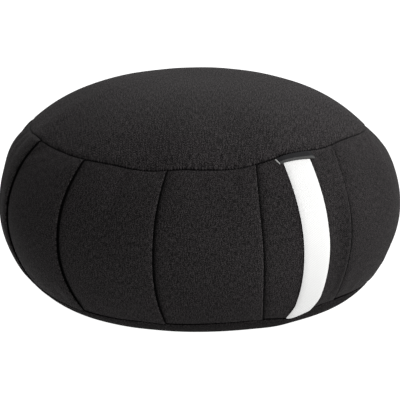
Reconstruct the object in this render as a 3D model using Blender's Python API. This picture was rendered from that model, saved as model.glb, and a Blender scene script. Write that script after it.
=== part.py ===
# Round meditation cushion with a pleated side band, at its real size in metres.
# The filled body carries the band with its twelve knife pleats and two shallow seats. A crowned
# panel lies in the upper seat and a flat-bottomed panel in the lower one. A webbing strap runs
# down the side from seam to seam, and a folded tab covers its upper end.
# Azimuth is counted from the front (-Y) and grows towards the right (+X).

import math

import bpy
import bmesh

# Seams and crown
UPPER_SEAM_RADIUS = 0.1508
UPPER_SEAM_HEIGHT = 0.1565
LOWER_SEAM_RADIUS = 0.1554
CROWN_RISE = 0.0473
CROWN_POWER = 3.11
LEAN_PER_HEIGHT = -0.0071
LEAN_LEVEL = 0.1

# Side band
BAND_BULGE = 0.0269
BULGE_SKEW = 0.009
BULGE_SPREAD = 0.006
SEAM_FLATTENING = 0.0012

# Fuller places high on the two sides: azimuth in degrees, height share, half width in degrees,
# half height as a share, and the most that the place stands out, in millimetres.
SWELLS = (
    (-88.0, 0.88, 14.0, 0.12, 3.6),
    (88.0, 0.83, 14.0, 0.15, 1.6),
)
SWELL_POWER = 12

# Underside
FLOOR_RADIUS = 0.0972
UNDERSIDE_POWER = 2.65
UNDERSIDE_SKEW = 0.25

# Round panels and the seats they lie in
PANEL_THICKNESS = 0.002
SEAT_GAP = 0.0003
EDGE_GAP = 0.0004

# Pleats
FLAP_THICKNESS = 0.0013
SLIT_HEIGHT = 0.0012
SLIT_LENGTH = 0.006
PANEL_LOW = -0.0020
SEAM_RELIEF = 0.35
RELIEF_POWER = 4
SLIT_POWER = 10
RAMP_POWER = 1.4
PUFF_LEAN = 0.85
PUFF_POWER = 2.5
BOW_POWER = 3
MEAN_BOW = 0.25
MILLIMETRE = 0.001

# One row for each pleat, going round to the right from the left side:
# azimuth at the lower seam and at the upper seam in degrees, then in millimetres the radius and
# height of the upper seam, the height of the lower seam and the puff of the panel that follows,
# and last the bow of the fold's edge in degrees.
PLEATS = (
    (-74.0, -68.4, 152.4, 159.2, 24.6, 1.9, 2.5),
    (-42.4, -43.3, 149.6, 153.5, 19.9, 1.5, 2.5),
    (-12.8, -12.3, 149.2, 150.4, 17.0, 1.7, 2.2),
    (18.3, 16.9, 150.4, 156.3, 19.4, 1.2, 2.1),
    (46.1, 47.2, 150.4, 163.3, 24.4, 1.6, 2.5),
    (73.7, 76.1, 150.6, 161.2, 24.7, 1.8, 2.5),
    (104.9, 106.9, 152.5, 152.7, 24.8, 1.5, 2.2),
    (136.9, 135.9, 152.7, 150.2, 25.0, 1.7, 2.6),
    (167.0, 167.6, 149.4, 154.5, 23.5, 1.4, 1.9),
    (198.1, 196.9, 148.4, 157.8, 18.5, 1.9, 2.3),
    (228.0, 228.9, 150.4, 158.8, 17.2, 1.6, 2.5),
    (259.6, 258.7, 153.2, 160.6, 20.6, 1.8, 2.5),
)
LOWER_AZIMUTH, UPPER_AZIMUTH, UPPER_RADIUS, UPPER_HEIGHT, LOWER_HEIGHT, PUFF, BOW = range(7)

# Carry strap and tab
STRAP_LOWER_AZIMUTH = math.radians(34.2)
STRAP_UPPER_AZIMUTH = math.radians(32.1)
STRAP_WIDTH = 0.026
STRAP_THICKNESS = 0.0018
STRAP_CLEARANCE = 0.0004
STRAP_END = 0.016
TAB_WIDTH = 0.035
TAB_LENGTH = 0.0076
TAB_SKEW = 0.0022
TAB_LAYER = 0.0010
TAB_SLIT = 0.0004
TAB_DROOP = 0.0012
TAB_FLAT_SHARE = 0.78
BAND_SLOPE_LENGTH = 0.178

# Facets
BAND_STRIPS = 16
DISC_POINTS = 60
STRAP_STRIPS = 18
CROWN_RINGS = (1.0, 0.95, 0.87, 0.77, 0.65, 0.52, 0.38, 0.22)
UNDERSIDE_RINGS = (1.0, 0.84, 0.68, 0.52, 0.36, 0.20, 0.0)
FLOOR_RINGS = (0.6,)
PANEL_STEPS = (0.012, 0.10, 0.25, 0.42, 0.59, 0.75, 0.89)
STRAP_STATIONS = (-1.0, -0.55, 0.0, 0.55, 1.0)
TAB_STATIONS = (-1.0, -0.86, -0.74, -0.4, 0.0, 0.4, 0.74, 0.86, 1.0)
SMALL_STEP = 0.001


def lerp(low, high, share):
    return low + (high - low) * share


PLEAT_MIDDLES = [math.radians((row[LOWER_AZIMUTH] + row[UPPER_AZIMUTH]) / 2) for row in PLEATS]


def panel_at(azimuth):
    """Index of the panel that holds an azimuth and how far across it the azimuth lies."""
    first = PLEAT_MIDDLES[0]
    starts = PLEAT_MIDDLES + [first + 2 * math.pi]
    turned = (azimuth - first) % (2 * math.pi) + first
    index = max(i for i in range(len(PLEATS)) if starts[i] <= turned)
    return index, (turned - starts[index]) / (starts[index + 1] - starts[index])


def around(azimuth, column):
    """A pleat value carried smoothly round the cushion, in metres."""
    index, share = panel_at(azimuth)
    count = len(PLEATS)
    values = [PLEATS[(index + k) % count][column] for k in (-1, 0, 1, 2)]
    before, start, end, after = values
    slope_start = (end - before) / 2
    slope_end = (after - start) / 2
    t2 = share * share
    t3 = t2 * share
    blended = (2 * t3 - 3 * t2 + 1) * start + (t3 - 2 * t2 + share) * slope_start
    blended += (3 * t2 - 2 * t3) * end + (t3 - t2) * slope_end
    return blended * MILLIMETRE


def upper_radius(azimuth):
    """Radius of the upper seam: a little flattened between the pleats."""
    _, share = panel_at(azimuth)
    return around(azimuth, UPPER_RADIUS) - SEAM_FLATTENING * math.sin(math.pi * share) ** 2


def band_profile(azimuth, height_share):
    """Radius and height on the band, from the lower seam at 0 to the upper seam at 1."""
    swing = 2 * height_share - 1
    bulge = BAND_BULGE * (1 - swing * swing)
    bulge *= 1 + BULGE_SKEW * swing + BULGE_SPREAD * swing * swing
    radius = lerp(LOWER_SEAM_RADIUS, UPPER_SEAM_RADIUS, height_share) + bulge
    radius *= 1 + height_share ** 2 * (upper_radius(azimuth) / UPPER_SEAM_RADIUS - 1)
    low = around(azimuth, LOWER_HEIGHT)
    high = around(azimuth, UPPER_HEIGHT)
    return radius, lerp(low, high, height_share)


def crown_profile(azimuth, radius_share):
    """Radius and height on the crown, from its centre at 0 to the upper seam at 1."""
    radius = upper_radius(azimuth) * radius_share
    rise = CROWN_RISE * (1 - radius_share ** CROWN_POWER)
    seam_change = around(azimuth, UPPER_HEIGHT) - UPPER_SEAM_HEIGHT
    return radius, UPPER_SEAM_HEIGHT + rise + seam_change * radius_share ** 2


def underside_profile(azimuth, rise_share):
    """Radius and height on the underside, from the floor contact at 0 to the lower seam at 1."""
    radius = lerp(FLOOR_RADIUS, LOWER_SEAM_RADIUS, rise_share)
    power = UNDERSIDE_POWER + UNDERSIDE_SKEW * math.sin(azimuth)
    return radius, around(azimuth, LOWER_HEIGHT) * rise_share ** power


def outward(profile, azimuth, share, turn):
    """Unit normal of a profile in its upright plane, as (out, up)."""
    low = profile(azimuth, max(share - SMALL_STEP, 0.0))
    high = profile(azimuth, min(share + SMALL_STEP, 1.0))
    run = high[0] - low[0]
    climb = high[1] - low[1]
    length = math.hypot(run, climb)
    return turn * climb / length, -turn * run / length


def place(azimuth, radius, height):
    """Point at an azimuth, radius and height, with the cushion's slight lean."""
    lean = LEAN_PER_HEIGHT * (height - LEAN_LEVEL) * min(height / LEAN_LEVEL, 1.0)
    return (radius * math.sin(azimuth) + lean, -radius * math.cos(azimuth), height)


def swell(azimuth, height_share):
    """How far the fuller places stand out at a point of the band, fading to nothing at the seams."""
    total = 0.0
    for middle, level, half_width, half_height, most in SWELLS:
        turned = (azimuth - math.radians(middle) + math.pi) % (2 * math.pi) - math.pi
        off = turned / math.radians(half_width)
        climb = (height_share - level) / half_height
        total += most * MILLIMETRE * math.exp(-off * off - climb * climb)
    return total * (1 - abs(2 * height_share - 1) ** SWELL_POWER)


def band_point(azimuth, height_share, lift):
    """Point on the band, lifted off its even surface along the normal."""
    radius, height = band_profile(azimuth, height_share)
    out, up = outward(band_profile, azimuth, height_share, 1)
    raised = lift + swell(azimuth, height_share)
    return place(azimuth, radius + out * raised, height + up * raised)


def pleat_azimuth(index, height_share):
    """Azimuth of a fold's edge: straight between the seams but for a slight bow to the left."""
    turns, place_in_row = divmod(index, len(PLEATS))
    row = PLEATS[place_in_row]
    straight = lerp(row[LOWER_AZIMUTH], row[UPPER_AZIMUTH], height_share)
    bow = row[BOW] * (abs(2 * height_share - 1) ** BOW_POWER - MEAN_BOW)
    return math.radians(straight + bow) + turns * 2 * math.pi


def relief(height_share):
    """Share of the full pleat relief at a height: the seams press it down."""
    return lerp(SEAM_RELIEF, 1.0, 1 - abs(2 * height_share - 1) ** RELIEF_POWER)


def slit_share(height_share):
    """Share of the full slit under a fold: closed where the seams catch it."""
    return 1 - abs(2 * height_share - 1) ** SLIT_POWER


def panel_lift(index, across, height_share):
    """Lift of a panel's surface: low where it leaves a fold, high at the next fold."""
    fold_top = PANEL_LOW + SLIT_HEIGHT + FLAP_THICKNESS
    ramp = lerp(PANEL_LOW, fold_top, across ** RAMP_POWER)
    puff = PLEATS[index % len(PLEATS)][PUFF] * MILLIMETRE
    puff *= math.sin(math.pi * across ** PUFF_LEAN) * (1 - abs(2 * height_share - 1) ** PUFF_POWER)
    return ramp * relief(height_share) + puff


def fold_points(height_share):
    """The fold's nose and slit as pairs: distance right of the fold's edge, and lift."""
    nose = FLAP_THICKNESS / 2
    floor = PANEL_LOW
    top = floor + SLIT_HEIGHT + FLAP_THICKNESS
    opened = (
        (-nose, top),
        (0.0, top - nose),
        (-nose, top - FLAP_THICKNESS),
        (-SLIT_LENGTH, top - FLAP_THICKNESS),
        (-SLIT_LENGTH, floor),
    )
    closed = (
        (-nose, top),
        (0.0, lerp(top, floor, 0.3)),
        (0.3 * nose, lerp(top, floor, 0.55)),
        (0.5 * nose, lerp(top, floor, 0.75)),
        (0.7 * nose, lerp(top, floor, 0.95)),
    )
    share = slit_share(height_share)
    scale = relief(height_share)
    points = []
    for (open_run, open_lift), (shut_run, shut_lift) in zip(opened, closed):
        points.append((lerp(shut_run, open_run, share), lerp(shut_lift, open_lift, share) * scale))
    return points


def band_ring(height_share):
    """All points of the band at one height, panel by panel, each ending with its right-hand fold."""
    ring = []
    for index in range(len(PLEATS)):
        start = pleat_azimuth(index, height_share)
        end = pleat_azimuth(index + 1, height_share)
        for across in PANEL_STEPS:
            azimuth = lerp(start, end, across)
            ring.append(band_point(azimuth, height_share, panel_lift(index, across, height_share)))
        radius = band_profile(end, height_share)[0]
        for run, lift in fold_points(height_share):
            ring.append(band_point(end + run / radius, height_share, lift))
    return ring


def disc_azimuths():
    return [2 * math.pi * k / DISC_POINTS for k in range(DISC_POINTS)]


def offset_ring(profile, share, turn, depth, setback):
    """Ring of a round panel: depth goes in along the normal, setback along the surface."""
    ring = []
    for azimuth in disc_azimuths():
        radius, height = profile(azimuth, share)
        out, up = outward(profile, azimuth, share, turn)
        along = (-up * turn, out * turn)
        ring.append(place(azimuth, radius - out * depth + along[0] * setback,
                          height - up * depth + along[1] * setback))
    return ring


def crown_rings(depth, setback):
    """Rings of the crown from the seam inwards, then its centre."""
    rings = [offset_ring(crown_profile, 1.0, -1, depth, -setback)]
    rings += [offset_ring(crown_profile, share, -1, depth, 0.0) for share in CROWN_RINGS[1:]]
    centre = place(0.0, 0.0, UPPER_SEAM_HEIGHT + CROWN_RISE - depth)
    return rings, centre


def underside_rings(depth, setback):
    """Rings of the underside from the seam down to the floor contact, then its centre."""
    rings = [offset_ring(underside_profile, 1.0, 1, depth, -setback)]
    rings += [offset_ring(underside_profile, share, 1, depth, 0.0) for share in UNDERSIDE_RINGS[1:-1]]
    flat_shares = (1.0,) + FLOOR_RINGS
    for share in flat_shares:
        rings.append([place(a, FLOOR_RADIUS * share, depth) for a in disc_azimuths()])
    return rings, place(0.0, 0.0, depth)


def add_points(bm, points):
    return [bm.verts.new(point) for point in points]


def azimuth_of(vert):
    return math.atan2(vert.co.x, -vert.co.y)


def join_even(bm, lower, upper):
    """Strip of quads between two rings with the same number of points."""
    count = len(lower)
    for k in range(count):
        bm.faces.new((lower[k], lower[(k + 1) % count], upper[(k + 1) % count], upper[k]))


def join_uneven(bm, lower, upper):
    """Strip of triangles between two rings with different numbers of points."""
    start = azimuth_of(lower[0])
    nearest = min(range(len(upper)), key=lambda k: (azimuth_of(upper[k]) - start) % (2 * math.pi))
    upper = upper[nearest:] + upper[:nearest]
    low_turns = [(azimuth_of(v) - start) % (2 * math.pi) for v in lower] + [2 * math.pi]
    high_turns = [(azimuth_of(v) - start) % (2 * math.pi) for v in upper]
    high_turns.append(high_turns[0] + 2 * math.pi)
    low = 0
    high = 0
    while low < len(lower) or high < len(upper):
        low_vert = lower[low % len(lower)]
        high_vert = upper[high % len(upper)]
        step_low = high == len(upper)
        if low < len(lower) and high < len(upper):
            step_low = low_turns[low + 1] <= high_turns[high + 1]
        if step_low:
            bm.faces.new((low_vert, lower[(low + 1) % len(lower)], high_vert))
            low += 1
        else:
            bm.faces.new((low_vert, upper[(high + 1) % len(upper)], high_vert))
            high += 1


def close_fan(bm, ring, centre):
    """Fan of triangles from a ring to its centre point."""
    middle = bm.verts.new(centre)
    for k in range(len(ring)):
        bm.faces.new((ring[k], ring[(k + 1) % len(ring)], middle))


def material(name, colour, roughness):
    cloth = bpy.data.materials.new(name)
    cloth.use_nodes = True
    shader = cloth.node_tree.nodes["Principled BSDF"]
    shader.inputs["Base Color"].default_value = (*colour, 1.0)
    shader.inputs["Roughness"].default_value = roughness
    shader.inputs["Metallic"].default_value = 0.0
    return cloth


def finish(bm, name, cloth, sharp_degrees):
    """Make the object of a closed mesh, with its faces outwards."""
    bmesh.ops.recalc_face_normals(bm, faces=bm.faces)
    mesh = bpy.data.meshes.new(name)
    bm.to_mesh(mesh)
    bm.free()
    piece = bpy.data.objects.new(name, mesh)
    bpy.context.collection.objects.link(piece)
    mesh.materials.append(cloth)
    mesh.shade_smooth()
    mesh.set_sharp_from_angle(angle=math.radians(sharp_degrees))
    return piece


def band_shares():
    """Heights of the band's rings, closer together near the seams."""
    shares = []
    for k in range(BAND_STRIPS + 1):
        even = k / BAND_STRIPS
        crowded = (1 - math.cos(math.pi * even)) / 2
        shares.append((even + crowded) / 2)
    return shares


def make_body(cloth):
    """Filled body with the pleated band and the seats of both round panels."""
    bm = bmesh.new()
    seat_depth = PANEL_THICKNESS + SEAT_GAP
    rings = [add_points(bm, band_ring(share)) for share in band_shares()]
    for lower, upper in zip(rings, rings[1:]):
        join_even(bm, lower, upper)
    upper_rings, upper_centre = crown_rings(seat_depth, 0.0)
    upper_seat = [add_points(bm, ring) for ring in upper_rings]
    join_uneven(bm, rings[-1], upper_seat[0])
    for outer, inner in zip(upper_seat, upper_seat[1:]):
        join_even(bm, outer, inner)
    close_fan(bm, upper_seat[-1], upper_centre)
    lower_rings, lower_centre = underside_rings(seat_depth, 0.0)
    lower_seat = [add_points(bm, ring) for ring in lower_rings]
    join_uneven(bm, rings[0], lower_seat[0])
    for outer, inner in zip(lower_seat, lower_seat[1:]):
        join_even(bm, outer, inner)
    close_fan(bm, lower_seat[-1], lower_centre)
    return finish(bm, "pleated_body", cloth, 50)


def make_round_panel(name, ring_maker, cloth):
    """Thin round panel with an outer and an inner face and a rim set back from the seam."""
    bm = bmesh.new()
    outer_rings, outer_centre = ring_maker(0.0, EDGE_GAP)
    inner_rings, inner_centre = ring_maker(PANEL_THICKNESS, EDGE_GAP)
    outer = [add_points(bm, ring) for ring in outer_rings]
    inner = [add_points(bm, ring) for ring in inner_rings]
    for rings, centre in ((outer, outer_centre), (inner, inner_centre)):
        for first, second in zip(rings, rings[1:]):
            join_even(bm, first, second)
        close_fan(bm, rings[-1], centre)
    join_even(bm, outer[0], inner[0])
    return finish(bm, name, cloth, 60)


def side_point(run, height_share, lift):
    """Point beside the strap's middle line, lifted off the band panel beneath it."""
    middle = lerp(STRAP_LOWER_AZIMUTH, STRAP_UPPER_AZIMUTH, height_share)
    radius = band_profile(middle, height_share)[0]
    azimuth = middle + run / radius
    index = max(k for k in range(len(PLEATS)) if pleat_azimuth(k, height_share) <= azimuth)
    start = pleat_azimuth(index, height_share)
    end = pleat_azimuth(index + 1, height_share)
    across = (azimuth - start) / (end - start)
    return band_point(azimuth, height_share, panel_lift(index, across, height_share) + lift)


def join_sections(bm, sections):
    """Tube through closed sections that all have the same number of points."""
    for first, second in zip(sections, sections[1:]):
        join_even(bm, first, second)


def make_strap(cloth):
    """Webbing strap that lies on the band from one seam to the other."""
    bm = bmesh.new()
    runs = [STRAP_WIDTH / 2 * station for station in STRAP_STATIONS]
    under = STRAP_CLEARANCE
    over = STRAP_CLEARANCE + STRAP_THICKNESS
    sections = []
    for k in range(STRAP_STRIPS + 1):
        share = lerp(STRAP_END, 1 - STRAP_END, k / STRAP_STRIPS)
        points = [side_point(run, share, over) for run in runs]
        points += [side_point(run, share, under) for run in reversed(runs)]
        sections.append(add_points(bm, points))
    join_sections(bm, sections)
    for section in (sections[0], sections[-1]):
        for k in range(len(runs) - 1):
            bm.faces.new((section[k], section[k + 1], section[-k - 2], section[-k - 1]))
    return finish(bm, "carry_strap", cloth, 40)


def make_tab(cloth):
    """Folded tab over the strap's upper end: two layers that meet in a fold at the lower edge."""
    bm = bmesh.new()
    base = 2 * STRAP_CLEARANCE + STRAP_THICKNESS
    thick = 2 * TAB_LAYER + TAB_SLIT
    turn = TAB_LENGTH - thick / 2
    nose = TAB_LENGTH
    outer = (
        (0.0, thick),
        (turn / 2, thick),
        (turn, thick),
        (nose, thick * 0.75),
        (nose, thick * 0.25),
        (turn, 0.0),
        (turn / 2, 0.0),
        (0.0, 0.0),
    )
    top = TAB_LAYER + TAB_SLIT
    inner = (
        (0.0, top),
        (turn / 2, top),
        (turn, top),
        (turn + TAB_SLIT, lerp(TAB_LAYER, top, 0.7)),
        (turn + TAB_SLIT, lerp(TAB_LAYER, top, 0.3)),
        (turn, TAB_LAYER),
        (turn / 2, TAB_LAYER),
        (0.0, TAB_LAYER),
    )
    half = TAB_WIDTH / 2
    sections = []
    for run_share in TAB_STATIONS:
        droop = TAB_DROOP * max(0.0, abs(run_share) - TAB_FLAT_SHARE) / (1 - TAB_FLAT_SHARE)
        points = []
        for down, lift in outer + tuple(reversed(inner)):
            share = 1 - STRAP_END - down / BAND_SLOPE_LENGTH
            run = half * run_share + TAB_SKEW * (down / TAB_LENGTH - 0.5)
            points.append(side_point(run, share, base + lift - droop))
        sections.append(add_points(bm, points))
    join_sections(bm, sections)
    for section in (sections[0], sections[-1]):
        for k in range(len(outer) - 1):
            bm.faces.new((section[k], section[k + 1], section[-k - 2], section[-k - 1]))
    return finish(bm, "label_tab", cloth, 45)


def centre_over_origin(pieces):
    """Move all pieces together so that the middle of their common box lies over the origin."""
    points = [vert.co for piece in pieces for vert in piece.data.vertices]
    middle_x = (min(p.x for p in points) + max(p.x for p in points)) / 2
    middle_y = (min(p.y for p in points) + max(p.y for p in points)) / 2
    for piece in pieces:
        piece.location = (-middle_x, -middle_y, 0.0)


def main():
    for old in list(bpy.data.objects):
        bpy.data.objects.remove(old, do_unlink=True)
    canvas = material("charcoal_canvas", (0.026, 0.025, 0.026), 0.9)
    crown_canvas = material("crown_canvas", (0.028, 0.027, 0.028), 0.9)
    base_canvas = material("base_canvas", (0.024, 0.023, 0.024), 0.9)
    webbing = material("white_webbing", (0.72, 0.71, 0.69), 0.8)
    tape = material("black_tape", (0.02, 0.02, 0.021), 0.6)
    pieces = [
        make_body(canvas),
        make_round_panel("top_panel", crown_rings, crown_canvas),
        make_round_panel("bottom_panel", underside_rings, base_canvas),
        make_strap(webbing),
        make_tab(tape),
    ]
    centre_over_origin(pieces)


main()
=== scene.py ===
import math

import bmesh
import bpy
from mathutils import Matrix, Vector, noise


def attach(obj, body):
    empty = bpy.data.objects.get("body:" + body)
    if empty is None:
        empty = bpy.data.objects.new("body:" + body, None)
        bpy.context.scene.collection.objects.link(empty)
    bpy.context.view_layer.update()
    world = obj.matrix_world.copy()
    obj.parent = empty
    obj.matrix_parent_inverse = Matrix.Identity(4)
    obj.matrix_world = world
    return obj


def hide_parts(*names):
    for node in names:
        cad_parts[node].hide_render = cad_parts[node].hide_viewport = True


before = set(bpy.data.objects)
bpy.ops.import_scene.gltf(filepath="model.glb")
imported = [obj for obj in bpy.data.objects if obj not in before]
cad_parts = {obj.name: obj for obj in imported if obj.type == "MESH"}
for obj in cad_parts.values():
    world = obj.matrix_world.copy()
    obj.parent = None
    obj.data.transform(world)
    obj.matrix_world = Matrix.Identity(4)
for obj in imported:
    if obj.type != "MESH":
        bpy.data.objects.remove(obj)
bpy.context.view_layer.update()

MILLIMETRE = 0.001
TURN = 2 * math.pi

# The cushion's form, as in the part's source, in metres
UPPER_SEAM_RADIUS = 0.1508
UPPER_SEAM_HEIGHT = 0.1565
LOWER_SEAM_RADIUS = 0.1554
CROWN_RISE = 0.0473
CROWN_POWER = 3.11
LEAN_PER_HEIGHT = -0.0071
LEAN_LEVEL = 0.1
BAND_BULGE = 0.0269
BULGE_SKEW = 0.009
BULGE_SPREAD = 0.006
SEAM_FLATTENING = 0.0012
FLOOR_RADIUS = 0.0972
UNDERSIDE_POWER = 2.65
UNDERSIDE_SKEW = 0.25
BOW_POWER = 3
MEAN_BOW = 0.25
CENTRE_SHIFT = (0.000093, 0.00029)

# One row for each pleat, going round to the right from the left side:
# azimuth at the lower and the upper seam in degrees, then in millimetres the radius and height of
# the upper seam, the height of the lower seam and the puff of the panel that follows, and last
# the bow of the fold's edge in degrees.
PLEATS = (
    (-74.0, -68.4, 152.4, 159.2, 24.6, 1.9, 2.5),
    (-42.4, -43.3, 149.6, 153.5, 19.9, 1.5, 2.5),
    (-12.8, -12.3, 149.2, 150.4, 17.0, 1.7, 2.2),
    (18.3, 16.9, 150.4, 156.3, 19.4, 1.2, 2.1),
    (46.1, 47.2, 150.4, 163.3, 24.4, 1.6, 2.5),
    (73.7, 76.1, 150.6, 161.2, 24.7, 1.8, 2.5),
    (104.9, 106.9, 152.5, 152.7, 24.8, 1.5, 2.2),
    (136.9, 135.9, 152.7, 150.2, 25.0, 1.7, 2.6),
    (167.0, 167.6, 149.4, 154.5, 23.5, 1.4, 1.9),
    (198.1, 196.9, 148.4, 157.8, 18.5, 1.9, 2.3),
    (228.0, 228.9, 150.4, 158.8, 17.2, 1.6, 2.5),
    (259.6, 258.7, 153.2, 160.6, 20.6, 1.8, 2.5),
)
LOWER_AZIMUTH, UPPER_AZIMUTH, UPPER_RADIUS, UPPER_HEIGHT, LOWER_HEIGHT, PUFF, BOW = range(7)
PLEAT_MIDDLES = [math.radians((row[LOWER_AZIMUTH] + row[UPPER_AZIMUTH]) / 2) for row in PLEATS]

# Fuller places high on the two sides: azimuth in degrees, height share, half width in degrees,
# half height as a share, and the most that the place stands out, in millimetres.
SWELLS = (
    (-88.0, 0.88, 14.0, 0.12, 3.6),
    (88.0, 0.83, 14.0, 0.15, 1.6),
)
SWELL_POWER = 12

# Small waves of the two seams: azimuth and half width in degrees, change of height in millimetres.
UPPER_WAVES = (
    (-71.0, 6.0, 2.4),
    (-33.4, 8.0, 1.0),
    (-17.0, 6.0, -0.6),
    (-6.5, 6.0, 1.6),
    (11.7, 9.0, -2.6),
    (29.6, 6.0, 1.8),
    (45.4, 6.0, -1.9),
)
LOWER_WAVES = (
    (-33.0, 9.0, -0.3),
    (-18.0, 6.0, 0.8),
    (29.5, 7.5, -4.0),
)

# Folds of the pleats
PANEL_LOW = -0.0020
FOLD_TOP = 0.0005
NOSE_THICKNESS = 0.0013
SLIT_LENGTH = 0.007
SLIT_END_HEIGHT = 0.0006
SEAM_RELIEF = 0.35
VALLEY_DEPTH = 0.0004
VALLEY_WIDTH = 0.0018
PANEL_ARC = 0.088
# Painted shade beside the folds: the width of its dark core, the most that core widens on folds facing
# right, and the width of its soft part
FOLD_SHADE_WIDTH = 0.0018
FOLD_SHADE_MOST = 0.005
SHADE_WIDTH = 0.006
SOFT_FOLD = 4
BEAD_HEIGHT = 0.0006
BEAD_WIDTH = 0.0026
UPPER_SEAM_DIP = 0.0015
LOWER_SEAM_DIP = 0.0004
SEAM_DIP_WIDTH = 0.0025
STITCH_PITCH = 0.0026

# Soft troughs that the photograph shows: azimuth in degrees at the lower and upper end,
# lower and upper height share, half width in degrees, depth in millimetres.
TROUGHS = (
    (-28.5, -24.5, 0.62, 1.0, 2.2, 1.7),
    (41.0, 42.5, 0.15, 0.85, 3.2, 1.3),
    (43.2, 44.0, 0.02, 0.42, 1.1, 0.8),
    (-79.0, -77.0, 0.2, 1.0, 1.6, 0.7),
    (-85.0, -84.0, 0.3, 1.0, 1.8, 0.6),
    (2.0, 1.0, 0.0, 0.5, 4.0, 0.5),
    (122.0, 120.0, 0.3, 1.0, 3.5, 0.8),
    (182.0, 184.0, 0.0, 0.7, 3.4, 0.8),
    (243.0, 242.0, 0.4, 1.0, 3.0, 0.7),
)


def lerp(low, high, share):
    return low + (high - low) * share


def smooth(share):
    share = min(max(share, 0.0), 1.0)
    return share * share * (3 - 2 * share)


def panel_at(azimuth):
    """Index of the panel that holds an azimuth and how far across it the azimuth lies."""
    first = PLEAT_MIDDLES[0]
    starts = PLEAT_MIDDLES + [first + TURN]
    turned = (azimuth - first) % TURN + first
    index = max(i for i in range(len(PLEATS)) if starts[i] <= turned)
    return index, (turned - starts[index]) / (starts[index + 1] - starts[index])


def around(azimuth, column):
    """A pleat value carried smoothly round the cushion, in metres."""
    index, share = panel_at(azimuth)
    before, start, end, after = (PLEATS[(index + k) % len(PLEATS)][column] for k in (-1, 0, 1, 2))
    slope_start = (end - before) / 2
    slope_end = (after - start) / 2
    t2 = share * share
    t3 = t2 * share
    blended = (2 * t3 - 3 * t2 + 1) * start + (t3 - 2 * t2 + share) * slope_start
    blended += (3 * t2 - 2 * t3) * end + (t3 - t2) * slope_end
    return blended * MILLIMETRE


def waves(azimuth, table):
    """Sum of a table's small waves at an azimuth, in metres."""
    total = 0.0
    for middle, half_width, change in table:
        turned = (azimuth - math.radians(middle) + math.pi) % TURN - math.pi
        off = turned / math.radians(half_width)
        total += change * MILLIMETRE * math.exp(-off * off)
    return total


def upper_height(azimuth):
    return around(azimuth, UPPER_HEIGHT) + waves(azimuth, UPPER_WAVES)


def lower_height(azimuth):
    return around(azimuth, LOWER_HEIGHT) + waves(azimuth, LOWER_WAVES)


def upper_radius(azimuth):
    """Radius of the upper seam: a little flattened between the pleats."""
    _, share = panel_at(azimuth)
    return around(azimuth, UPPER_RADIUS) - SEAM_FLATTENING * math.sin(math.pi * share) ** 2


def band_profile(azimuth, rise):
    """Radius and height on the band, from the lower seam at 0 to the upper seam at 1."""
    swing = 2 * rise - 1
    bulge = BAND_BULGE * (1 - swing * swing)
    bulge *= 1 + BULGE_SKEW * swing + BULGE_SPREAD * swing * swing
    radius = lerp(LOWER_SEAM_RADIUS, UPPER_SEAM_RADIUS, rise) + bulge
    radius *= 1 + rise * rise * (upper_radius(azimuth) / UPPER_SEAM_RADIUS - 1)
    return radius, lerp(lower_height(azimuth), upper_height(azimuth), rise)


def crown_profile(azimuth, share):
    """Radius and height on the crown, from its centre at 0 to the upper seam at 1."""
    rise = CROWN_RISE * (1 - share ** CROWN_POWER)
    seam_change = upper_height(azimuth) - UPPER_SEAM_HEIGHT
    return upper_radius(azimuth) * share, UPPER_SEAM_HEIGHT + rise + seam_change * share ** 3


def underside_profile(azimuth, share):
    """Radius and height on the underside, from the floor contact at 0 to the lower seam at 1."""
    radius = lerp(FLOOR_RADIUS, LOWER_SEAM_RADIUS, share)
    power = UNDERSIDE_POWER + UNDERSIDE_SKEW * math.sin(azimuth)
    return radius, lower_height(azimuth) * share ** power


def outward(profile, azimuth, share, turn):
    """Unit normal of a profile in its upright plane, as (out, up)."""
    low = profile(azimuth, max(share - 0.001, 0.0))
    high = profile(azimuth, min(share + 0.001, 1.0))
    run = high[0] - low[0]
    climb = high[1] - low[1]
    length = math.hypot(run, climb)
    return turn * climb / length, -turn * run / length


def place(azimuth, radius, height):
    """Point at an azimuth, radius and height, with the cushion's slight lean."""
    lean = LEAN_PER_HEIGHT * (height - LEAN_LEVEL) * min(height / LEAN_LEVEL, 1.0)
    across = radius * math.sin(azimuth) + lean + CENTRE_SHIFT[0]
    return Vector((across, CENTRE_SHIFT[1] - radius * math.cos(azimuth), height))


def swell(azimuth, rise):
    """How far the fuller places stand out at a point of the band, fading to nothing at the seams."""
    total = 0.0
    for middle, level, half_width, half_height, most in SWELLS:
        turned = (azimuth - math.radians(middle) + math.pi) % TURN - math.pi
        off = turned / math.radians(half_width)
        climb = (rise - level) / half_height
        total += most * MILLIMETRE * math.exp(-off * off - climb * climb)
    return total * (1 - abs(2 * rise - 1) ** SWELL_POWER)


def band_point(azimuth, rise, lift):
    """Point on the band, lifted off its even surface along the normal."""
    radius, height = band_profile(azimuth, rise)
    out, up = outward(band_profile, azimuth, rise, 1)
    raised = lift + swell(azimuth, rise)
    return place(azimuth, radius + out * raised, height + up * raised)


def pleat_azimuth(index, rise):
    """Azimuth of a fold's edge: straight between the seams but for a slight bow to the left."""
    turns, row_index = divmod(index, len(PLEATS))
    row = PLEATS[row_index]
    straight = lerp(row[LOWER_AZIMUTH], row[UPPER_AZIMUTH], rise)
    bow = row[BOW] * (abs(2 * rise - 1) ** BOW_POWER - MEAN_BOW)
    return math.radians(straight + bow) + turns * TURN


def relief(rise):
    """Share of the full pleat relief at a height: the seams press it down."""
    return lerp(SEAM_RELIEF, 1.0, 1 - abs(2 * rise - 1) ** 4)


def slit_share(rise):
    """Share of the full slit under a fold: closed where the seams catch it."""
    return 1 - abs(2 * rise - 1) ** 14


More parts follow.
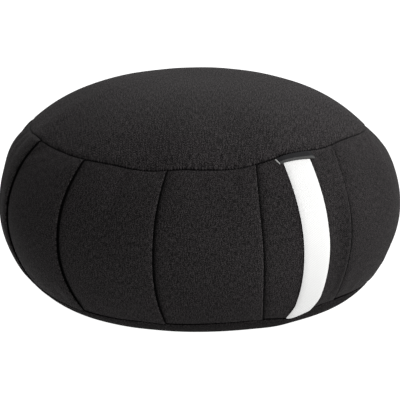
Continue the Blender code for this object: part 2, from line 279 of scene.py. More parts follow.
def trough_depth(azimuth, rise):
    """Depth of the soft troughs and creases at a point of the band, in metres."""
    depth = 0.0
    for low_azimuth, high_azimuth, low, high, half_width, most in TROUGHS:
        share = (rise - low) / (high - low)
        if not -0.15 < share < 1.15:
            continue
        middle = math.radians(lerp(low_azimuth, high_azimuth, share))
        off = ((azimuth - middle + math.pi) % TURN - math.pi) / math.radians(half_width)
        if abs(off) > 3:
            continue
        ends = smooth((share + 0.15) / 0.4) * smooth((1.15 - share) / 0.4)
        depth += most * MILLIMETRE * math.exp(-off * off) * ends
    return depth


def panel_lift(index, across, rise, puff_share):
    """Lift of a panel's surface: low where it leaves a fold, high at the next fold."""
    ramp = lerp(PANEL_LOW, FOLD_TOP, across ** 1.4)
    puff = PLEATS[index % len(PLEATS)][PUFF] * MILLIMETRE * puff_share
    puff *= math.sin(math.pi * across ** 0.85) * (1 - abs(2 * rise - 1) ** 2.5)
    valley = VALLEY_DEPTH * math.exp(-across * PANEL_ARC / VALLEY_WIDTH) * slit_share(rise)
    bead = BEAD_HEIGHT * math.exp(-(((1 - across) * PANEL_ARC / BEAD_WIDTH) ** 2)) * slit_share(rise)
    return ramp * relief(rise) + puff - valley + bead


def fold_points(rise):
    """The fold's nose and slit as pairs: distance right of the fold's edge, and lift."""
    nose = NOSE_THICKNESS / 2
    under = FOLD_TOP - NOSE_THICKNESS
    opened = (
        (-nose, FOLD_TOP + 0.8 * BEAD_HEIGHT),
        (-0.3 * nose, FOLD_TOP - 0.2 * nose),
        (0.0, FOLD_TOP - nose),
        (-0.3 * nose, FOLD_TOP - 1.7 * nose),
        (-nose, under),
        (-0.5 * SLIT_LENGTH, lerp(under, PANEL_LOW, 0.25)),
        (-SLIT_LENGTH, PANEL_LOW + SLIT_END_HEIGHT),
        (-SLIT_LENGTH, PANEL_LOW),
        (-0.5 * SLIT_LENGTH, PANEL_LOW - 0.6 * VALLEY_DEPTH),
    )
    shut = [(-nose + 0.28 * nose * k, lerp(FOLD_TOP, PANEL_LOW, k / 9)) for k in range(9)]
    share = slit_share(rise)
    points = []
    for (open_run, open_lift), (shut_run, shut_lift) in zip(opened, shut):
        points.append((lerp(shut_run, open_run, share), lerp(shut_lift, open_lift, share) * relief(rise)))
    return points


def seam_roll(distance, dip):
    """How far cloth dips as it turns into a seam, from the distance to the seam line."""
    return dip * max(0.0, 1 - distance / SEAM_DIP_WIDTH) ** 1.6


def panel_fold_shade(across, fold_azimuth):
    """Painted shadow on a panel's start beside a fold, from 1 at the fold to 0."""
    distance = across * PANEL_ARC
    width = FOLD_SHADE_WIDTH
    if 0 < math.degrees(fold_azimuth) < 80:
        width = min(width + (FOLD_TOP - PANEL_LOW) * math.tan(fold_azimuth), FOLD_SHADE_MOST)
    core = 1 - smooth((distance - 0.5 * width) / (0.5 * width))
    return max(core, 0.3 * (1 - smooth(distance / (width + SHADE_WIDTH))))


def darkness(fold, rise):
    """How dark a fold's painted shadow is: on the fold beside the strap it fades softly towards the top."""
    if fold % len(PLEATS) == SOFT_FOLD:
        return lerp(1.0, 0.3, smooth((rise - 0.5) / 0.3))
    return 1.0


def hollow_shade(fold, across, rise):
    """Soft painted shade on the cloth before the fold beside the strap, where the cloth sinks in."""
    if fold % len(PLEATS) != SOFT_FOLD:
        return 0.0
    return 0.26 * smooth((across - 0.72) / 0.22) * smooth(rise / 0.12) * smooth((0.85 - rise) / 0.3)


def lip_highlight_share(azimuth, rise):
    """Share of painted highlight on a fold's edge: most on the right, where the lights are strongest, and
    towards the floor.
    """
    return (0.5 + 0.5 * math.sin(azimuth)) * lerp(1.0, 0.4, rise)


SURFACE_STEPS = [0.006, 0.012, 0.020, 0.032] + [k / 20 for k in range(1, 20)] + [0.966, 0.985]
# Painted light on the fold's points, nose first: painted highlight on the nose's top, painted shade round
# its edge and in the slit
FOLD_SHADING = (-0.7, -0.7, 0.3, 1.0, 1.0, 1.0, 1.0, 1.0, 1.0)
BAND_ROWS = 46
EDGE_ROWS = (0.0, 0.002, 0.0045, 0.0075)
FIRST_EVEN_ROW = 0.013
HELD_EDGE = 0.03
HELD_SEAM = 0.02
PUFF_BEFORE_FILLING = 0.55
MOST_FILLING = 0.0035
CLOTH_FRAMES = 20
HIDDEN_RINGS = ((0.985, 0.0024), (0.85, 0.0028))


def row_heights():
    """Height shares of the band's rows, closer together near the seams."""
    shares = list(EDGE_ROWS)
    for k in range(BAND_ROWS + 1):
        even = k / BAND_ROWS
        crowded = (1 - math.cos(math.pi * even)) / 2
        shares.append(lerp(FIRST_EVEN_ROW, 1 - FIRST_EVEN_ROW, lerp(even, crowded, 0.5)))
    return shares + [1 - share for share in reversed(EDGE_ROWS)]


def band_row(rise, puff_share):
    """Points of one row round the band: azimuth, lift, place across the cloth, held, and painted shade
    (below zero, painted highlight).
    """
    points = []
    for index in range(len(PLEATS)):
        start = pleat_azimuth(index, rise)
        end = pleat_azimuth(index + 1, rise)
        for across in SURFACE_STEPS:
            azimuth = lerp(start, end, across)
            lift = panel_lift(index, across, rise, puff_share) - trough_depth(azimuth, rise)
            # Painted shade on the panel's start and before the fold beside the strap, and a painted
            # highlight on the panel's end
            painted_fold_shading = panel_fold_shade(across, start) * darkness(index, rise) + hollow_shade(index + 1, across, rise)
            painted_fold_shading -= 0.3 * lip_highlight_share(end, rise) * smooth((across - 0.97) / 0.015)
            held = not HELD_EDGE < across < 1 - HELD_EDGE
            points.append((azimuth, lift, azimuth * UPPER_SEAM_RADIUS, held, painted_fold_shading))
        radius = band_profile(end, rise)[0]
        for order, (run, lift) in enumerate(fold_points(rise)):
            # Painted highlight on the fold's nose, painted shade round its edge and in its slit
            painted_fold_shading = FOLD_SHADING[order]
            painted_fold_shading *= lip_highlight_share(end, rise) if painted_fold_shading < 0 else darkness(index + 1, rise)
            points.append((end + run / radius, lift, end * UPPER_SEAM_RADIUS, True, painted_fold_shading))
    return points


def link(mesh, name):
    piece = bpy.data.objects.new(name, mesh)
    bpy.context.collection.objects.link(piece)
    return piece


def activate(piece):
    """Deselect all, then select one piece and make it active."""
    bpy.ops.object.select_all(action="DESELECT")
    piece.select_set(True)
    bpy.context.view_layer.objects.active = piece


def apply_modifiers(piece):
    activate(piece)
    for modifier in list(piece.modifiers):
        bpy.ops.object.modifier_apply(modifier=modifier.name)


def shade(piece, degrees=60):
    activate(piece)
    bpy.ops.object.shade_smooth_by_angle(angle=math.radians(degrees))


def make_band():
    """The filled body: pleated band rows, closed above and below under the round panels."""
    puff_share = PUFF_BEFORE_FILLING
    bm = bmesh.new()
    held = []
    rows = []
    heights = row_heights()
    arc = [0.0]
    for low, high in zip(heights, heights[1:]):
        r0, z0 = band_profile(0.0, low)
        r1, z1 = band_profile(0.0, high)
        arc.append(arc[-1] + math.hypot(r1 - r0, z1 - z0))
    cloth_uv = {}
    # Painted shade and painted highlight of the folds, kept on each point for the band's colour
    fold_shading_layer = bm.verts.layers.float.new("painted_fold_shading")
    for level, rise in enumerate(heights):
        row = []
        dip = seam_roll(arc[level], LOWER_SEAM_DIP) + seam_roll(arc[-1] - arc[level], UPPER_SEAM_DIP)
        for azimuth, lift, across, pinned, painted_fold_shading in band_row(rise, puff_share):
            vert = bm.verts.new(band_point(azimuth, rise, lift - dip))
            vert[fold_shading_layer] = painted_fold_shading
            cloth_uv[vert] = (across, arc[level])
            if pinned or not HELD_SEAM <= rise <= 1 - HELD_SEAM:
                held.append(vert)
            row.append(vert)
        rows.append(row)
    for lower, upper in zip(rows, rows[1:]):
        for k in range(len(lower)):
            n = (k + 1) % len(lower)
            bm.faces.new((lower[k], lower[n], upper[n], upper[k]))
    for ring, profile, turn in ((rows[-1], crown_profile, -1), (rows[0], underside_profile, 1)):
        previous = ring
        for share, depth in HIDDEN_RINGS:
            inner = []
            for vert in ring:
                azimuth = math.atan2(vert.co.x, -vert.co.y)
                radius, height = profile(azimuth, share)
                out, up = outward(profile, azimuth, share, turn)
                inner.append(bm.verts.new(place(azimuth, radius - out * depth, height - up * depth)))
                cloth_uv[inner[-1]] = cloth_uv[vert]
            for k in range(len(ring)):
                n = (k + 1) % len(ring)
                bm.faces.new((previous[k], previous[n], inner[n], inner[k]))
            held += inner
            previous = inner
    bmesh.ops.recalc_face_normals(bm, faces=bm.faces)
    bm.verts.index_update()
    held_numbers = [vert.index for vert in held]
    layer = bm.loops.layers.uv.new("weave")
    seam = bm.loops.layers.uv.new("seam")
    wrap = TURN * UPPER_SEAM_RADIUS
    for face in bm.faces:
        us = [cloth_uv[loop.vert][0] for loop in face.loops]
        for loop in face.loops:
            u, v = cloth_uv[loop.vert]
            if max(us) - min(us) > wrap / 2 and u > wrap / 4:
                u -= wrap
            loop[layer].uv = (u, v)
            loop[seam].uv = (u, min(v, arc[-1] - v))
    mesh = bpy.data.meshes.new("pleated_cushion")
    bm.to_mesh(mesh)
    bm.free()
    piece = link(mesh, "pleated_cushion")
    fill_cloth(piece, held_numbers, MOST_FILLING)
    activate(piece)
    smoothing = piece.modifiers.new("smoothing", "SUBSURF")
    smoothing.levels = 1
    smoothing.render_levels = 1
    apply_modifiers(piece)
    close_ends(piece)
    return piece


def close_ends(piece):
    """Close the body above and below, out of sight under the round panels."""
    bm = bmesh.new()
    bm.from_mesh(piece.data)
    rims = [edge for edge in bm.edges if edge.is_boundary]
    bmesh.ops.holes_fill(bm, edges=rims, sides=0)
    bmesh.ops.recalc_face_normals(bm, faces=bm.faces)
    bm.to_mesh(piece.data)
    bm.free()


def fill_cloth(piece, held_numbers, most):
    """Let the filling press the cloth out between its held folds, by no more than a set distance."""
    rest = [vert.co.copy() for vert in piece.data.vertices]
    group = piece.vertex_groups.new(name="held")
    group.add(held_numbers, 1.0, "REPLACE")
    cloth = piece.modifiers.new("filling", "CLOTH")
    settings = cloth.settings
    settings.quality = 6
    settings.mass = 0.3
    settings.tension_stiffness = 12
    settings.compression_stiffness = 12
    settings.shear_stiffness = 6
    settings.bending_stiffness = 0.6
    settings.tension_damping = 8
    settings.compression_damping = 8
    settings.air_damping = 4
    settings.use_pressure = True
    settings.uniform_pressure_force = 4
    settings.shrink_min = -0.012
    settings.vertex_group_mass = "held"
    settings.effector_weights.gravity = 0
    cloth.collision_settings.use_collision = False
    cloth.collision_settings.use_self_collision = False
    scene = bpy.context.scene
    for number in range(1, CLOTH_FRAMES + 1):
        scene.frame_set(number)
    apply_modifiers(piece)
    scene.frame_set(1)
    for vert, start in zip(piece.data.vertices, rest):
        moved = vert.co - start
        if moved.length > most:
            vert.co = start + moved.normalized() * most
    piece.vertex_groups.clear()


def ripple(azimuth, seed):
    """Small uneven gathers along a seam, from -1 to 1."""
    around_point = Vector((math.sin(azimuth), -math.cos(azimuth), seed))
    coarse = noise.noise(around_point * 11.0)
    fine = noise.noise(around_point * 29.0 + Vector((3.1, 1.7, 0.4)))
    return coarse + 0.7 * fine


SHEET_COLUMNS = 420
SHEET_THICKNESS = 0.0012
GATHER_HEIGHT = 0.00035
GATHER_LENGTH = 0.009
CROWN_UNEVENNESS = 0.0006


def make_round_sheet(name, profile, turn, shares, thickness, flat_floor):
    """A thin round panel that rolls into its seam, with gathers where the seam draws it in."""
    columns = SHEET_COLUMNS
    bm = bmesh.new()
    rings = []
    seam_place = {}
    for share in shares:
        ring = []
        for k in range(columns):
            azimuth = TURN * k / columns
            radius, height = profile(azimuth, share)
            out, up = outward(profile, azimuth, share, turn)
            edge_radius, edge_height = profile(azimuth, 1.0)
            distance = math.hypot(edge_radius - radius, edge_height - height)
            lift = -seam_roll(distance, LOWER_SEAM_DIP if flat_floor else UPPER_SEAM_DIP)
            fade = math.exp(-distance / GATHER_LENGTH)
            lift += GATHER_HEIGHT * ripple(azimuth, 0.3 * turn) * fade * (1 - math.exp(-distance / 0.001))
            spot = place(azimuth, radius, height)
            if not flat_floor:
                lift += CROWN_UNEVENNESS * noise.noise(spot * 14.0) * (1 - fade)
            radius += out * lift
            height += up * lift
            vert = bm.verts.new(place(azimuth, radius, max(height, 0.0)))
            seam_place[vert] = (azimuth * UPPER_SEAM_RADIUS, distance)
            ring.append(vert)
        rings.append(ring)
    for outer, inner in zip(rings, rings[1:]):
        for k in range(columns):
            n = (k + 1) % columns
            bm.faces.new((outer[k], outer[n], inner[n], inner[k]))
    if flat_floor:
        for share in (0.7, 0.35):
            radius = FLOOR_RADIUS * share
            ring = [bm.verts.new(place(TURN * k / columns, radius, 0.0)) for k in range(columns)]
            for k in range(columns):
                n = (k + 1) % columns
                bm.faces.new((rings[-1][k], rings[-1][n], ring[n], ring[k]))
            rings.append(ring)
    last = rings[-1]
    middle_height = 0.0 if flat_floor else profile(0.0, 0.0)[1]
    middle = bm.verts.new(place(0.0, 0.0, middle_height))
    for k in range(columns):
        bm.faces.new((last[k], last[(k + 1) % columns], middle))
    bmesh.ops.recalc_face_normals(bm, faces=bm.faces)
    top = max(bm.faces, key=lambda f: f.calc_center_median().z)
    low = min(bm.faces, key=lambda f: f.calc_center_median().z)
    face = low if flat_floor else top
    if (face.normal.z > 0) == flat_floor:
        bmesh.ops.reverse_faces(bm, faces=bm.faces)
    layer = bm.loops.layers.uv.new("weave")
    seam = bm.loops.layers.uv.new("seam")
    wrap = TURN * UPPER_SEAM_RADIUS
    for face in bm.faces:
        runs = [seam_place.get(loop.vert, (0.0, UPPER_SEAM_RADIUS))[0] for loop in face.loops]
        for loop in face.loops:
            run, distance = seam_place.get(loop.vert, (0.0, UPPER_SEAM_RADIUS))
            if max(runs) - min(runs) > wrap / 2 and run < wrap / 4:
                run += wrap
            loop[layer].uv = (loop.vert.co.x, loop.vert.co.y)
            loop[seam].uv = (run, distance)
    mesh = bpy.data.meshes.new(name)
    bm.to_mesh(mesh)
    bm.free()
    piece = link(mesh, name)
    wall = piece.modifiers.new("wall", "SOLIDIFY")
    wall.thickness = thickness
    wall.offset = -1
    apply_modifiers(piece)
    return piece


STRAP_LOWER_AZIMUTH = math.radians(34.2)
STRAP_UPPER_AZIMUTH = math.radians(32.1)
STRAP_WIDTH = 0.026
STRAP_THICKNESS = 0.0018
STRAP_TURN = 0.0040
STRAP_TURN_HEIGHT = 0.1
STRAP_LIFT = 0.0005
STRAP_END_DIP = 0.0006
STRAP_COLUMNS = 14
STRAP_ROWS = 110
TAB_WIDTH = 0.035
TAB_LENGTH = 0.0076
TAB_SKEW = 0.0022
TAB_TOP = 0.988
TAB_LIFT = 0.0018
TAB_DROOP = 0.0013
TAB_LAYER = 0.0006
TAB_GAP = 0.0004
TAB_COLUMNS = 26
BAND_SLOPE_LENGTH = 0.178


def side_lift(run, rise):
    """Azimuth beside the strap's middle line and the band's lift there."""
    middle = lerp(STRAP_LOWER_AZIMUTH, STRAP_UPPER_AZIMUTH, rise)
    azimuth = middle + run / band_profile(middle, rise)[0]
    index = max(k for k in range(len(PLEATS)) if pleat_azimuth(k, rise) <= azimuth)
    start = pleat_azimuth(index, rise)
    across = (azimuth - start) / (pleat_azimuth(index + 1, rise) - start)
    return azimuth, panel_lift(index, across, rise, 1.0)


def finish_tube(bm, sections, cap_width, spots, name):
    """Join sections into a closed tube, give it its weave map and put it in the scene."""
    total = len(sections[0])
    for first, second in zip(sections, sections[1:]):
        for k in range(total):
            n = (k + 1) % total
            bm.faces.new((first[k], first[n], second[n], second[k]))
    for section in (sections[0], sections[-1]):
        for k in range(cap_width):
            bm.faces.new((section[k], section[k + 1], section[-k - 2], section[-k - 1]))
    bmesh.ops.recalc_face_normals(bm, faces=bm.faces)
    layer = bm.loops.layers.uv.new("weave")
    for face in bm.faces:
        for loop in face.loops:
            loop[layer].uv = spots[loop.vert]
    mesh = bpy.data.meshes.new(name)
    bm.to_mesh(mesh)
    bm.free()
    return link(mesh, name)


def make_strap():
    """Webbing strap with rounded selvedges that lies on the band from seam to seam."""
    bm = bmesh.new()
    half = STRAP_WIDTH / 2
    sections = []
    spots = {}
    length = 0.0
    before = None
    for k in range(STRAP_ROWS + 1):
        rise = lerp(0.006, 0.983, k / STRAP_ROWS)
        radius, height = band_profile(STRAP_UPPER_AZIMUTH, rise)
        if before:
            length += math.hypot(radius - before[0], height - before[1])
        before = (radius, height)
        section = []
        for side in (1, -1):
            for j in range(STRAP_COLUMNS + 1):
                share = j / STRAP_COLUMNS * 2 - 1
                run = half * share * side
                thick = STRAP_THICKNESS * (1 - 0.45 * abs(share) ** 8)
                wave = 0.00025 * noise.noise(Vector((run * 60, rise * 6, 2.0)))
                ends = STRAP_END_DIP * (smooth(1 - rise / 0.04) + smooth((rise - 0.95) / 0.03))
                base = STRAP_LIFT + wave - ends
                lift = base + (thick if side == 1 else STRAP_THICKNESS - thick)
                turned = STRAP_TURN * smooth(1 - rise / STRAP_TURN_HEIGHT)
                azimuth, below = side_lift(run - turned, rise)
                vert = bm.verts.new(band_point(azimuth, rise, below + lift))
                spots[vert] = (run, length)
                section.append(vert)
        sections.append(section)
    return finish_tube(bm, sections, STRAP_COLUMNS, spots, "webbing_strap")


def tab_loop(turn, low, high):
    """One side of the folded tape as pairs, distance down from the seam and lift: out, round and back."""
    middle = (low + high) / 2
    radius = (high - low) / 2
    flat = (0.0, turn * 0.33, turn * 0.66)
    points = [(down, high) for down in flat]
    for k in range(9):
        angle = math.pi * k / 8
        points.append((turn + radius * math.sin(angle), middle + radius * math.cos(angle)))
    return points + [(down, low) for down in reversed(flat)]


def make_tab():
    """Folded tape tab over the strap's upper end: an open loop with its fold at the lower edge."""
    bm = bmesh.new()
    thick = 2 * TAB_LAYER + TAB_GAP
    turn = TAB_LENGTH - thick / 2
    outer = tab_loop(turn, 0.0, thick)
    inner = tab_loop(turn, TAB_LAYER, TAB_LAYER + TAB_GAP)
    half = TAB_WIDTH / 2
    sections = []
    spots = {}
    for j in range(TAB_COLUMNS + 1):
        share = j / TAB_COLUMNS * 2 - 1
        droop = TAB_DROOP * smooth((abs(share) - 0.72) / 0.28)
        section = []
        for down, lift in outer + inner[::-1]:
            rise = TAB_TOP - down * lerp(0.74, 1.0, (share + 1) / 2) / BAND_SLOPE_LENGTH
            run = half * share + TAB_SKEW * (down / TAB_LENGTH - 0.5)
            azimuth, below = side_lift(run, rise)
            vert = bm.verts.new(band_point(azimuth, rise, below + TAB_LIFT + lift - droop))
            spots[vert] = (half * share, down)
            section.append(vert)
        sections.append(section)
    return finish_tube(bm, sections, len(outer) - 1, spots, "folded_tab")


CANVAS_TONE = (0.0117, 0.0106, 0.0108)
LINE_DARKNESS = 0.93
STITCH_SWAY = 0.00035
WEAVE_PITCH = 0.0018
STRIPE_START = 0.0049
CUT_EDGE_WIDTH = 0.0002


class Recipe:
    """A material's node tree with short calls for the nodes that the cloths share."""

    def __init__(self, name):
        self.material = bpy.data.materials.new(name)
        self.material.use_nodes = True
        self.nodes = self.material.node_tree.nodes
        self.links = self.material.node_tree.links
        self.shader = self.nodes["Principled BSDF"]

    def put(self, value, socket):
        if isinstance(value, bpy.types.NodeSocket):
            self.links.new(value, socket)
        elif value is not None:
            socket.default_value = value

    def math(self, operation, first, second=None):
        node = self.nodes.new("ShaderNodeMath")
        node.operation = operation
        self.put(first, node.inputs[0])
        self.put(second, node.inputs[1])
        return node.outputs[0]

    def map_place(self, name):
        """The two numbers of a UV map, in metres on the cloth."""
        node = self.nodes.new("ShaderNodeUVMap")
        node.uv_map = name
        parts = self.nodes.new("ShaderNodeSeparateXYZ")
        self.links.new(node.outputs[0], parts.inputs[0])
        return parts.outputs[0], parts.outputs[1]

    def attribute(self, name):
        node = self.nodes.new("ShaderNodeAttribute")
        node.attribute_name = name
        return node.outputs["Fac"]

    def fall(self, value, start, end):
        """Smooth fall from 1 at the start value to 0 at the end value."""
        node = self.nodes.new("ShaderNodeMapRange")
        node.interpolation_type = "SMOOTHSTEP"
        self.put(value, node.inputs["Value"])
        node.inputs["From Min"].default_value = start
        node.inputs["From Max"].default_value = end
        node.inputs["To Min"].default_value = 1.0
        node.inputs["To Max"].default_value = 0.0
        return node.outputs["Result"]

    def scale_colour(self, colour, share):
        node = self.nodes.new("ShaderNodeVectorMath")
        node.operation = "SCALE"
        self.put(colour, node.inputs[0])
        self.put(share, node.inputs["Scale"])
        return node.outputs[0]

    def combine(self, x, y, z=0.0):
        node = self.nodes.new("ShaderNodeCombineXYZ")
        for value, socket in zip((x, y, z), node.inputs):
            self.put(value, socket)
        return node.outputs[0]

    def noise(self, place, scale, detail=2.0, roughness=0.5):
        node = self.nodes.new("ShaderNodeTexNoise")
        self.put(place, node.inputs["Vector"])
        node.inputs["Scale"].default_value = scale
        node.inputs["Detail"].default_value = detail
        node.inputs["Roughness"].default_value = roughness
        return node.outputs["Fac"]

    def wave(self, along, pitch):
        return self.math("SINE", self.math("MULTIPLY", along, TURN / pitch))

    def ramp(self, value, stops):
        node = self.nodes.new("ShaderNodeValToRGB")
        self.put(value, node.inputs[0])
        elements = node.color_ramp.elements
        while len(elements) < len(stops):
            elements.new(0.5)
        for element, (position, colour) in zip(elements, stops):
            element.position = position
            element.color = (*colour, 1.0)
        return node.outputs[0]

    def bump(self, height, strength, distance):
        node = self.nodes.new("ShaderNodeBump")
        node.inputs["Strength"].default_value = strength
        node.inputs["Distance"].default_value = distance
        self.put(height, node.inputs["Height"])
        self.links.new(node.outputs[0], self.shader.inputs["Normal"])


def canvas(name, tone, streak, fold_shaded, fine=1.0, gloss=1.0):
    """Charcoal heathered canvas: plain weave, mottled yarns, stitched seams, painted shade in the folds and
    painted highlights on their edges.
    """
    recipe = Recipe(name)
    u, v = recipe.map_place("weave")
    spot = recipe.combine(u, v)
    streaked = recipe.combine(u, recipe.math("MULTIPLY", v, streak))
    crossed = recipe.combine(recipe.math("MULTIPLY", u, streak), v)
    fibre = recipe.noise(spot, 1500.0, 1.0, 0.6)
    layers = (
        (recipe.noise(streaked, 1250.0 * fine, 0.0), 0.24),
        (recipe.noise(crossed, 1200.0 * fine, 0.0), 0.08),
        (recipe.noise(spot, 1300.0 * fine, 0.0), 0.48),
        (recipe.noise(spot, 16.0), 0.05),
        (fibre, 0.15),
    )
    yarn = 0.0
    for layer, share in layers:
        yarn = recipe.math("ADD", recipe.math("MULTIPLY", layer, share), yarn)
    dark, middling, light = ([c * share * tone for c in CANVAS_TONE] for share in (0.25, 0.95, 2.4))
    colour = recipe.ramp(yarn, ((0.39, dark), (0.50, middling), (0.61, light)))
    run, distance = recipe.map_place("seam")
    stitches = recipe.math("MULTIPLY", recipe.wave(run, STITCH_PITCH), STITCH_SWAY)
    line = recipe.fall(recipe.math("ADD", distance, stitches), 0.0001, 0.0009)
    shown = recipe.math("SUBTRACT", 1.0, recipe.math("MULTIPLY", line, LINE_DARKNESS))
    # Painted shade in the folds darkens the colour and painted highlight on their edges lightens it
    if fold_shaded:
        painted_fold_shading = recipe.attribute("painted_fold_shading")
        seam_line_and_painted_shade = recipe.math("MAXIMUM", line, painted_fold_shading)
        shown = recipe.math("SUBTRACT", 1.0, recipe.math("MULTIPLY", seam_line_and_painted_shade, LINE_DARKNESS))
        # Painted highlight on the folds' edges, from the negative part of the fold shading
        painted_lip_highlight = recipe.math("MAXIMUM", recipe.math("MULTIPLY", painted_fold_shading, -1.0), 0.0)
        shown = recipe.math("ADD", shown, painted_lip_highlight)
    colour = recipe.scale_colour(colour, shown)
    recipe.put(colour, recipe.shader.inputs["Base Color"])
    rough = recipe.math("ADD", recipe.math("MULTIPLY", fibre, 0.16), 0.78)
    recipe.put(rough, recipe.shader.inputs["Roughness"])
    weave = recipe.math("MULTIPLY", recipe.wave(u, WEAVE_PITCH), recipe.wave(v, WEAVE_PITCH))
    height = recipe.math("ADD", recipe.math("MULTIPLY", weave, 0.30), yarn)
    height = recipe.math("SUBTRACT", height, recipe.math("MULTIPLY", line, 0.8))
    recipe.bump(height, 0.55, 0.0005)
    recipe.shader.inputs["Specular IOR Level"].default_value = 0.04 * gloss
    recipe.shader.inputs["Sheen Weight"].default_value = 0.01 * gloss
    recipe.shader.inputs["Sheen Roughness"].default_value = 0.45
    recipe.shader.inputs["Sheen Tint"].default_value = (0.62, 0.60, 0.61, 1.0)
    return recipe.material


def webbing():
    """White woven webbing with close ribs along it and fine picks across."""
    recipe = Recipe("white_webbing_weave")
    u, v = recipe.map_place("weave")
    spot = recipe.combine(u, v)
    rib = recipe.wave(u, 0.0020)
    pick = recipe.wave(v, 0.0016)
    fibre = recipe.noise(spot, 1500.0, 2.0, 0.6)
    crossing = recipe.math("MULTIPLY", recipe.math("MULTIPLY", rib, pick), 0.25)
    weave = recipe.math("ADD", crossing, recipe.math("MULTIPLY", fibre, 0.5))
    colour = recipe.ramp(weave, ((0.0, (0.43, 0.43, 0.425)), (0.55, (0.54, 0.54, 0.535))))
    recipe.put(colour, recipe.shader.inputs["Base Color"])
    rough = recipe.math("ADD", recipe.math("MULTIPLY", fibre, 0.2), 0.6)
    recipe.put(rough, recipe.shader.inputs["Roughness"])
    recipe.bump(weave, 0.4, 0.0004)
    recipe.shader.inputs["Specular IOR Level"].default_value = 0.25
    recipe.shader.inputs["Sheen Weight"].default_value = 0.1
    return recipe.material


def tape():
    """Black woven tape with a dark grey stripe along its fold and a pale cut edge at the left end."""
    recipe = Recipe("black_tape_weave")
    u, v = recipe.map_place("weave")
    spot = recipe.combine(u, v)
    fibre = recipe.noise(spot, 1700.0, 2.0, 0.6)
    pick = recipe.wave(v, 0.0007)
    stripe = recipe.math("GREATER_THAN", v, STRIPE_START)
    cut = recipe.math("LESS_THAN", u, CUT_EDGE_WIDTH - TAB_WIDTH / 2)
    tone = recipe.math("ADD", recipe.math("MULTIPLY", fibre, 0.16), recipe.math("MULTIPLY", stripe, 0.25))
    tone = recipe.math("MAXIMUM", tone, recipe.math("MULTIPLY", cut, 0.9))
    colour = recipe.ramp(tone, ((0.0, (0.004, 0.004, 0.0045)), (0.2, (0.010, 0.010, 0.011)),
                                (0.4, (0.048, 0.048, 0.047)), (0.8, (0.45, 0.45, 0.44))))
    recipe.put(colour, recipe.shader.inputs["Base Color"])
    rough = recipe.math("ADD", recipe.math("MULTIPLY", fibre, 0.2), 0.5)
    recipe.put(rough, recipe.shader.inputs["Roughness"])
    recipe.bump(recipe.math("ADD", recipe.math("MULTIPLY", pick, 0.2), fibre), 0.3, 0.0002)
    recipe.shader.inputs["Specular IOR Level"].default_value = 0.08
    return recipe.material


CAMERA_ELEVATION = math.radians(13.097)
CAMERA_DISTANCE = 2.4
CAMERA_ROLL = math.radians(-0.295)
CAMERA_AIM = (0.0, 0.0, 0.0903)
ORBIT_HEIGHT = 0.1
FOCAL_PIXELS = 2657.9
PICTURE_PIXELS = 400
SENSOR_WIDTH = 36.0


def make_camera():
    """Camera at the photograph's viewing angle, a little above the cushion's rim."""
    back = CAMERA_DISTANCE * math.cos(CAMERA_ELEVATION)
    stand = Vector((0.0, -back, ORBIT_HEIGHT + CAMERA_DISTANCE * math.sin(CAMERA_ELEVATION)))
    aim = Vector(CAMERA_AIM)
    data = bpy.data.cameras.new("studio_camera")
    data.sensor_width = SENSOR_WIDTH
    data.lens = SENSOR_WIDTH * FOCAL_PIXELS / PICTURE_PIXELS
    camera = bpy.data.objects.new("studio_camera", data)
    bpy.context.collection.objects.link(camera)
    turned = (aim - stand).to_track_quat("-Z", "Y").to_matrix().to_4x4()
    roll = Matrix.Rotation(CAMERA_ROLL, 4, "Z")
    camera.matrix_world = Matrix.Translation(stand) @ turned @ roll
    bpy.context.scene.camera = camera


LIGHT_AIM = Vector((0.0, 0.0, 0.1))
# Each soft light's name, place in metres, width in metres and power in watts
LIGHTS = (
    ("back_softbox", (0.2, 1.6, 2.4), 1.8, 108.0),
    ("front_softbox", (1.6, -2.0, 1.4), 1.4, 47.0),
    ("crown_softbox", (0.1, -0.8, 1.0), 0.4, 2.6),
    ("side_softbox", (2.2, 0.3, 0.5), 0.8, 23.0),
    ("right_softbox", (1.6, -0.6, 0.8), 0.6, 18.0),
)
SURROUNDINGS = 0.338
FLOOR_GLOW = 1.057
FLOOR_SIZE = 14.0


def make_light(name, position, size, energy):
    """A round soft light that looks at the cushion."""
    data = bpy.data.lights.new(name, "AREA")
    data.shape = "DISK"
    data.size = size
    data.energy = energy
    lamp = bpy.data.objects.new(name, data)
    bpy.context.collection.objects.link(lamp)
    spot = Vector(position)
    turned = (LIGHT_AIM - spot).to_track_quat("-Z", "Y").to_matrix().to_4x4()
    lamp.matrix_world = Matrix.Translation(spot) @ turned


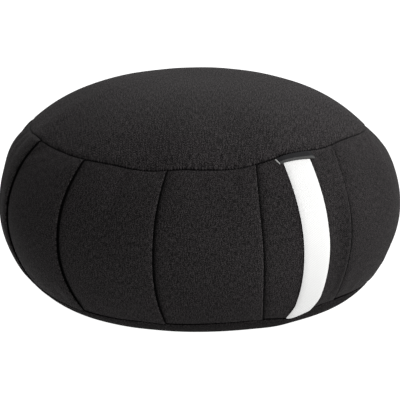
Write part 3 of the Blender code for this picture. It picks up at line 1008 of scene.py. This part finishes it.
def make_studio():
    """Plain pale floor, even surroundings and soft lights, the strongest from the right."""
    scene = bpy.context.scene
    scene.view_settings.view_transform = "Standard"
    world = bpy.data.worlds.new("studio_world")
    world.use_nodes = True
    background = world.node_tree.nodes["Background"]
    background.inputs[0].default_value = (1.0, 1.0, 1.0, 1.0)
    background.inputs[1].default_value = SURROUNDINGS
    scene.world = world
    bpy.ops.object.select_all(action="DESELECT")
    bpy.ops.mesh.primitive_plane_add(size=FLOOR_SIZE, location=(0.0, 0.0, 0.0))
    floor = bpy.context.active_object
    floor.name = "studio_floor"
    recipe = Recipe("studio_floor_white")
    recipe.shader.inputs["Base Color"].default_value = (0.08, 0.08, 0.08, 1.0)
    recipe.shader.inputs["Roughness"].default_value = 0.9
    recipe.shader.inputs["Specular IOR Level"].default_value = 0.1
    recipe.shader.inputs["Emission Color"].default_value = (1.0, 1.0, 1.0, 1.0)
    recipe.shader.inputs["Emission Strength"].default_value = FLOOR_GLOW
    floor.data.materials.append(recipe.material)
    for name, position, size, energy in LIGHTS:
        make_light(name, position, size, energy)


CROWN_STEPS = 34
BASE_STEPS = 16


def shares_inwards(steps, power, reach):
    """Shares of a round panel's profile from the seam inwards, closer together near the seam."""
    return [1 - (k / steps) ** power * reach for k in range(steps + 1)]


make_camera()
make_studio()

band = make_band()
crown_shares = shares_inwards(CROWN_STEPS, 1.7, 0.97)
base_shares = shares_inwards(BASE_STEPS, 1.5, 1.0)
crown = make_round_sheet("crown_panel", crown_profile, -1, crown_shares, SHEET_THICKNESS, False)
base = make_round_sheet("base_panel", underside_profile, 1, base_shares, SHEET_THICKNESS, True)
strap = make_strap()
tab = make_tab()

# The base panel's canvas is a darker copy of the same cloth: painted shade for the underside.
band_canvas = canvas("charcoal_band_canvas", 1.0, 0.2, True)
crown_canvas = canvas("charcoal_crown_canvas", 1.02, 0.15, False, 0.86)
base_canvas = canvas("charcoal_base_canvas", 0.72, 0.3, False, 0.7, 0.2)
for piece, cloth, node in (
    (band, band_canvas, "pleated_body"),
    (crown, crown_canvas, "top_panel"),
    (base, base_canvas, "bottom_panel"),
    (strap, webbing(), "carry_strap"),
    (tab, tape(), "label_tab"),
):
    shade(piece)
    piece.data.materials.clear()
    piece.data.materials.append(cloth)
    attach(piece, "root")
    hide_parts(node)
